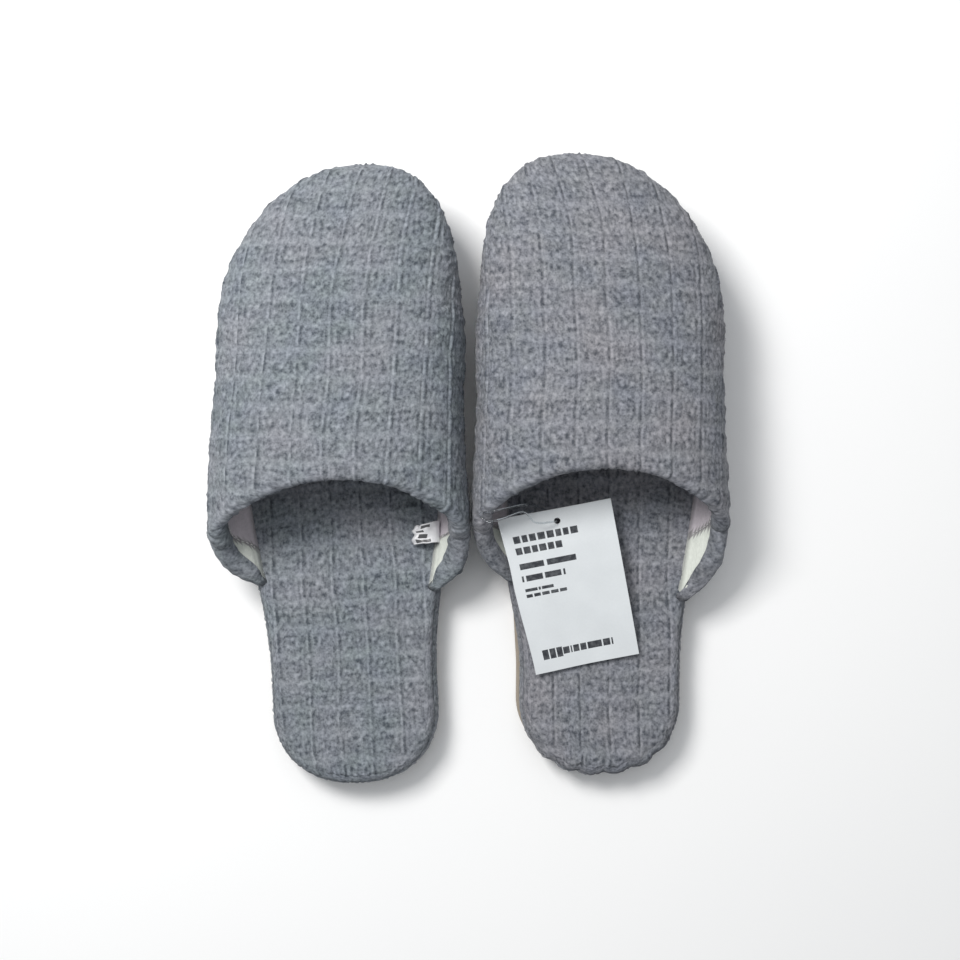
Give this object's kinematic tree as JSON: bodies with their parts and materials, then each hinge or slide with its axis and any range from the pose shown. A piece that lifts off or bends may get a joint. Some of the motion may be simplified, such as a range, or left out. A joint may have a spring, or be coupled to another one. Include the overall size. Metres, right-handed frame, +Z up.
{
  "type": "spa slippers",
  "caption": "Pair of open-backed fabric spa slippers with padded vamps, cushioned footbeds, bending heels, a care label and a looped hang tag.",
  "frame": {"origin": "on the floor, under the middle of the pair's bounding box", "axes": "+Y from the heels to the toes, +X from the left slipper to the right one, +Z up"},
  "size_m": [0.2308, 0.2846, 0.0675],
  "materials": {
    "waffle": "grey waffle-weave cotton, heathered",
    "lining": "off-white brushed cotton lining",
    "foam": "open-cell foam, matte",
    "board": "pressed fibre board",
    "outsole": "matte beige EVA with a moulded tread",
    "card": "coated white card",
    "satin": "white satin ribbon",
    "nylon": "clear moulded nylon"
  },
  "bodies": {
    "left_slipper": {"left_outsole_fore": "outsole", "left_insole_board_fore": "board", "left_cushion_fore": "foam", "left_footbed_cover_fore": "waffle", "left_side_band_fore": "waffle", "left_vamp_shell": "waffle", "left_vamp_padding": "foam", "left_vamp_lining": "lining", "left_topline_roll": "waffle"},
    "left_heel": {"left_outsole_heel": "outsole", "left_insole_board_heel": "board", "left_cushion_heel": "foam", "left_footbed_cover_heel": "waffle", "left_side_band_heel": "waffle"},
    "right_slipper": {"right_outsole_fore": "outsole", "right_insole_board_fore": "board", "right_cushion_fore": "foam", "right_footbed_cover_fore": "waffle", "right_side_band_fore": "waffle", "right_vamp_shell": "waffle", "right_vamp_padding": "foam", "right_vamp_lining": "lining", "right_topline_roll": "waffle"},
    "right_heel": {"right_outsole_heel": "outsole", "right_insole_board_heel": "board", "right_cushion_heel": "foam", "right_footbed_cover_heel": "waffle", "right_side_band_heel": "waffle"},
    "care_label": {"care_label": "satin"},
    "tag_loop": {"tag_loop": "nylon"},
    "hang_tag": {"hang_tag": "card"}
  },
  "joints": [
    {"name": "left_heel_flex", "type": "hinge", "parent": "left_slipper", "child": "left_heel", "pos_m": [-0.05535, -0.0543, 0.021], "axis": [-0.9995, -0.0332, 0], "range_deg": [0, 30], "stiffness_Nm_per_rad": 0.6},
    {"name": "care_label_swing", "type": "hinge", "parent": "left_slipper", "child": "care_label", "pos_m": [-0.01462, -0.02653, 0.0244], "axis": [-0.0332, 0.9995, 0], "range_deg": [-3, 60]},
    {"name": "right_slipper_slide", "type": "slide", "parent": "left_slipper", "child": "right_slipper", "axis": [1, 0, 0], "range_m": [0, 0.15]},
    {"name": "right_heel_flex", "type": "hinge", "parent": "right_slipper", "child": "right_heel", "pos_m": [0.05716, -0.04975, 0.021], "axis": [-1, 0, 0], "range_deg": [0, 30], "stiffness_Nm_per_rad": 0.6},
    {"name": "tag_loop_swing", "type": "hinge", "parent": "right_slipper", "child": "tag_loop", "pos_m": [0.00961, -0.01708, 0.05147], "axis": [-0.9816, -0.1908, 0], "range_deg": [0, 35]},
    {"name": "tag_lift", "type": "hinge", "parent": "tag_loop", "child": "hang_tag", "pos_m": [0.03866, -0.02325, 0.033], "axis": [-0.9816, -0.1908, 0], "range_deg": [0, 21.5]}
  ],
  "couplings": [
    {"joint": "tag_lift", "follows": "right_heel_flex", "ratio": 0.7}
  ]
}
